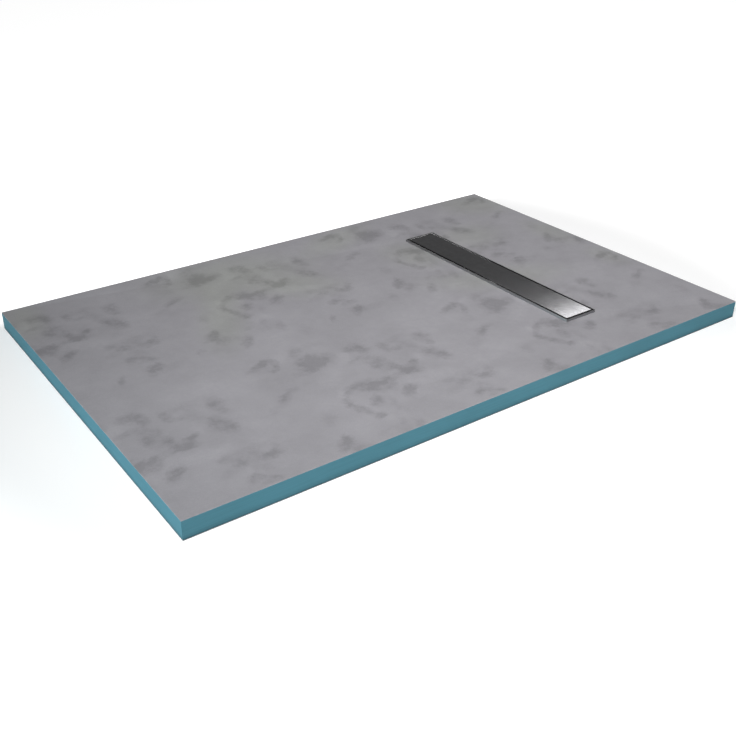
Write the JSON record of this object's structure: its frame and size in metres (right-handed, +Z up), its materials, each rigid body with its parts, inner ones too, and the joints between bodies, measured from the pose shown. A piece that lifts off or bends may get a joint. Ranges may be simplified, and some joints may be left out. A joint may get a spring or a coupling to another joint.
{
  "type": "tileable shower tray",
  "caption": "Rectangular foam shower tray coated for tiling, with falls on every side to a long steel channel drain near one end.",
  "frame": {"origin": "middle of the tray's underside", "axes": "+X along the tray's length towards the end with the drain, +Y across its width, +Z up from the underside to the tiling face"},
  "size_m": [1.4, 0.9, 0.04],
  "materials": {
    "foam": "teal extruded polystyrene foam, matt, with sawn edges",
    "coating": "grey cement mortar with mesh in it, matt, with soft darker mottles",
    "channel_steel": "satin stainless steel sheet",
    "cover_steel": "stainless steel brushed along its length"
  },
  "bodies": {
    "root": {"xps_core": "foam", "top_coating": "coating", "underside_coating": "coating", "drain_channel": "channel_steel", "drain_cover": "cover_steel", "cover_bearer_1": "channel_steel", "cover_bearer_2": "channel_steel", "cover_bearer_3": "channel_steel", "cover_bearer_4": "channel_steel"}
  },
  "joints": []
}
